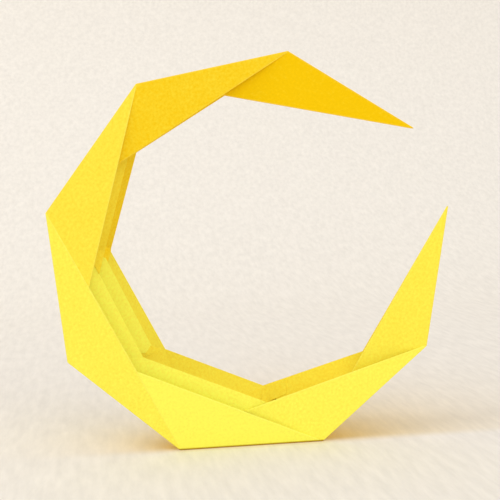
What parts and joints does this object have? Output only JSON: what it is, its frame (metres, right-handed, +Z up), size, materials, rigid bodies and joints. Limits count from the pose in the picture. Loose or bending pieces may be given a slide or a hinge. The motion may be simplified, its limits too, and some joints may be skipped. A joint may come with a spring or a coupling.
{
  "type": "paper crescent moon",
  "caption": "Crescent moon folded from one square of bright yellow paper, its rim a crimped fold with overlapping wedge panels, standing on one rim side.",
  "frame": {"origin": "middle of the flat that the moon stands on, at floor level", "axes": "+Z up, +X along the rim side it stands on, towards the crescent's open mouth, +Y away from the face with the broad overlapping panels"},
  "size_m": [0.072, 0.019, 0.0712],
  "materials": {
    "paper": "matte"
  },
  "bodies": {
    "root": {"folded_sheet": "paper"}
  },
  "joints": []
}
